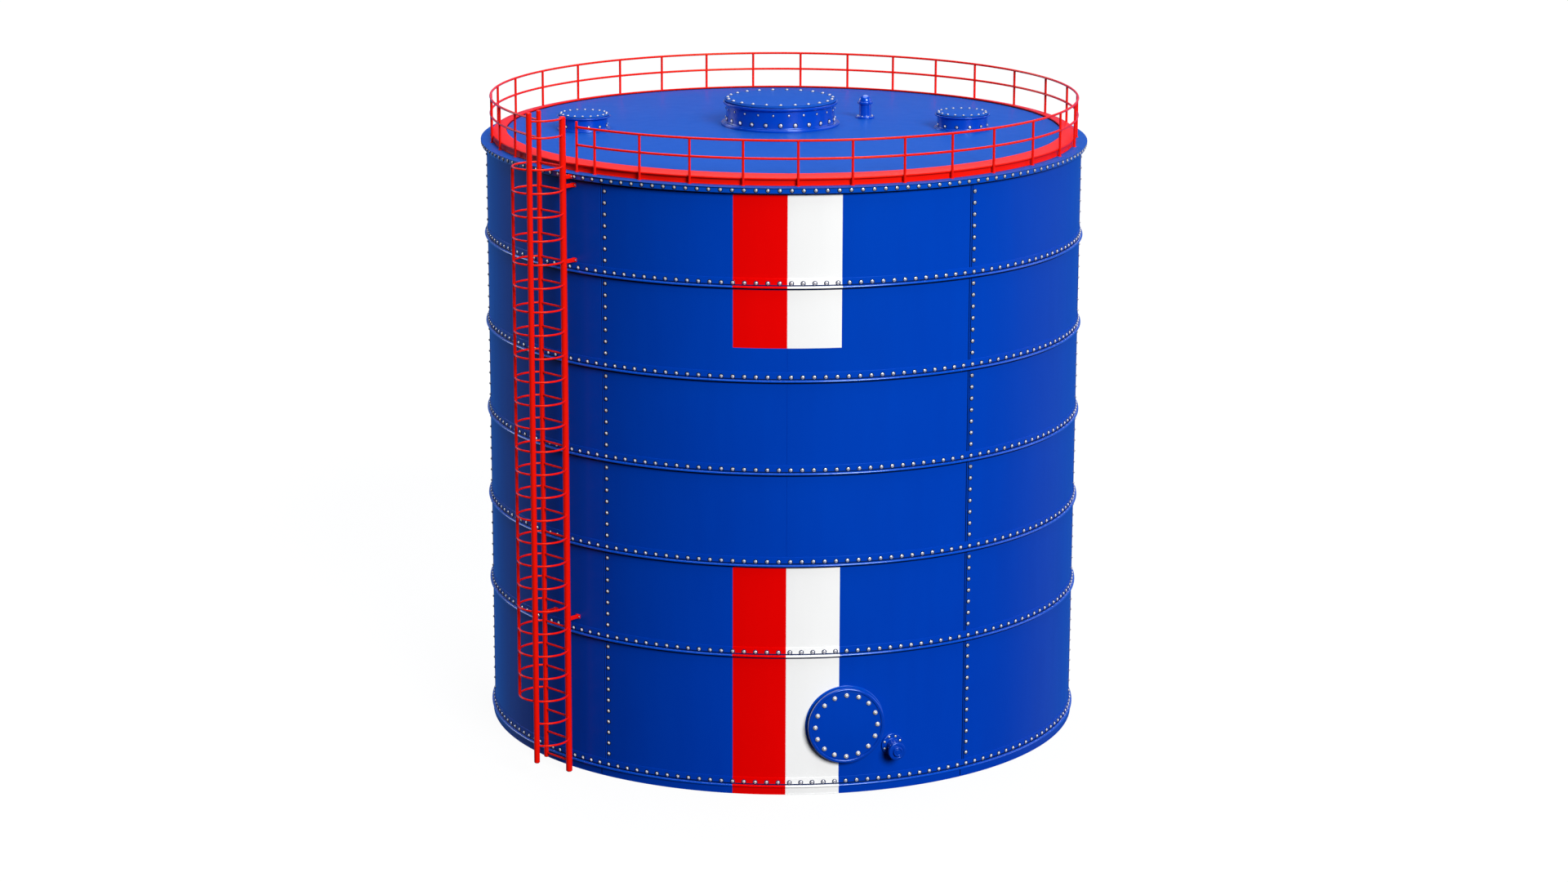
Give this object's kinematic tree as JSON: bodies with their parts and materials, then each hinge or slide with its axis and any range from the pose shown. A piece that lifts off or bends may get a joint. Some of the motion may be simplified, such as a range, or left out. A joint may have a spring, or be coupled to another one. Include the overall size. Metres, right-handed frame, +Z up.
{
  "type": "vertical storage tank",
  "caption": "Blue bolted steel storage tank with girth angles, red and white stripes, roof hatches, a red handrail and a caged ladder.",
  "frame": {"origin": "on the tank's axis, at the underside of the bottom plate", "axes": "+Z up along the tank's axis, -Y towards the striped front with the manhole, +X to the right seen from the front"},
  "size_m": [8.7066, 8.7356, 9.39],
  "materials": {
    "blue_paint": "gloss enamel",
    "red_paint": "gloss enamel",
    "white_paint": "gloss enamel",
    "zinc_bolts": "bright zinc plating"
  },
  "bodies": {
    "root": {"bottom_plate": "blue_paint", "base_band": "blue_paint", "base_angle": "blue_paint", "shell_course_1": "blue_paint", "shell_course_2": "blue_paint", "shell_course_3": "blue_paint", "shell_course_4": "blue_paint", "shell_course_5": "blue_paint", "shell_course_6": "blue_paint", "girth_angle_1": "blue_paint", "girth_angle_2": "blue_paint", "girth_angle_3": "blue_paint", "girth_angle_4": "blue_paint", "girth_angle_5": "blue_paint", "top_angle": "blue_paint", "roof_plate": "blue_paint", "roof_kerb": "red_paint", "handrail_front_left": "red_paint", "handrail_front_right": "red_paint", "handrail_right_front": "red_paint", "handrail_right_back": "red_paint", "handrail_back_right": "red_paint", "handrail_back_left": "red_paint", "handrail_left_back": "red_paint", "handrail_left_front": "red_paint", "ladder": "red_paint", "ladder_cage": "red_paint", "ladder_bracket_left_1": "red_paint", "ladder_bracket_right_1": "red_paint", "ladder_bracket_right_2": "red_paint", "ladder_bracket_right_3": "red_paint", "ladder_bracket_right_4": "red_paint", "centre_hatch_neck": "blue_paint", "centre_hatch_cover": "blue_paint", "left_hatch_neck": "blue_paint", "left_hatch_cover": "blue_paint", "right_hatch_neck": "blue_paint", "right_hatch_cover": "blue_paint", "vent_pipe": "blue_paint", "vent_cap": "blue_paint", "manhole_pad": "blue_paint", "manhole_neck": "blue_paint", "manhole_cover": "blue_paint", "nozzle_pipe": "blue_paint", "nozzle_cap": "blue_paint"}
  },
  "joints": []
}
